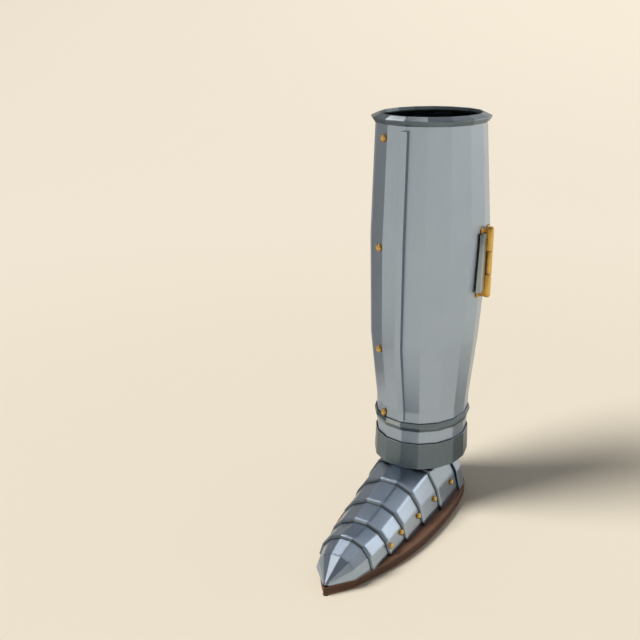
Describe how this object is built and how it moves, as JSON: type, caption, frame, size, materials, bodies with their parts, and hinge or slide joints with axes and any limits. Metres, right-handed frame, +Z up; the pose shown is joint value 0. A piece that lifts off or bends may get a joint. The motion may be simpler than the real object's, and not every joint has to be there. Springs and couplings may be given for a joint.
{
  "type": "greave with sabaton",
  "caption": "Tall faceted steel greave with a front ridge, rolled rims, an outer hinge and leather straps, standing on a pointed sabaton of overlapping lames with a leather sole.",
  "frame": {"origin": "on the ground, under the leg's upright axis, in the middle of the width", "axes": "+Z up the leg, -Y towards the toe, +X towards the outer side of the wearer's left leg"},
  "size_m": [0.1305, 0.3121, 0.4336],
  "materials": {
    "steel": "worn hand-finished plate, satin",
    "dark_steel": "darkened plate, satin",
    "brass": "worn satin",
    "strap_leather": "dark oiled strap leather",
    "sole_leather": "stiff brown sole leather, matte"
  },
  "bodies": {
    "root": {"front_plate": "steel", "calf_plate": "steel", "toe_cap": "steel", "lame_1": "steel", "lame_2": "steel", "lame_3": "steel", "lame_4": "steel", "lame_5": "steel", "heel_plate": "steel", "top_roll_front": "dark_steel", "top_roll_calf": "dark_steel", "ankle_roll_front": "dark_steel", "ankle_roll_calf": "dark_steel", "cuff_front": "dark_steel", "cuff_calf": "dark_steel", "hinge_cover": "dark_steel", "shin_rivet_1": "brass", "shin_rivet_2": "brass", "shin_rivet_3": "brass", "shin_rivet_4": "brass", "hinge_front_leaf": "brass", "hinge_rear_leaf": "brass", "hinge_pin": "brass", "strap_upper_rivet": "brass", "strap_upper_stud": "brass", "strap_lower_rivet": "brass", "strap_lower_stud": "brass", "lame_rivet_1": "brass", "lame_rivet_2": "brass", "lame_rivet_3": "brass", "lame_rivet_4": "brass", "lame_rivet_5": "brass", "strap_upper": "strap_leather", "strap_lower": "strap_leather", "sole": "sole_leather"}
  },
  "joints": []
}
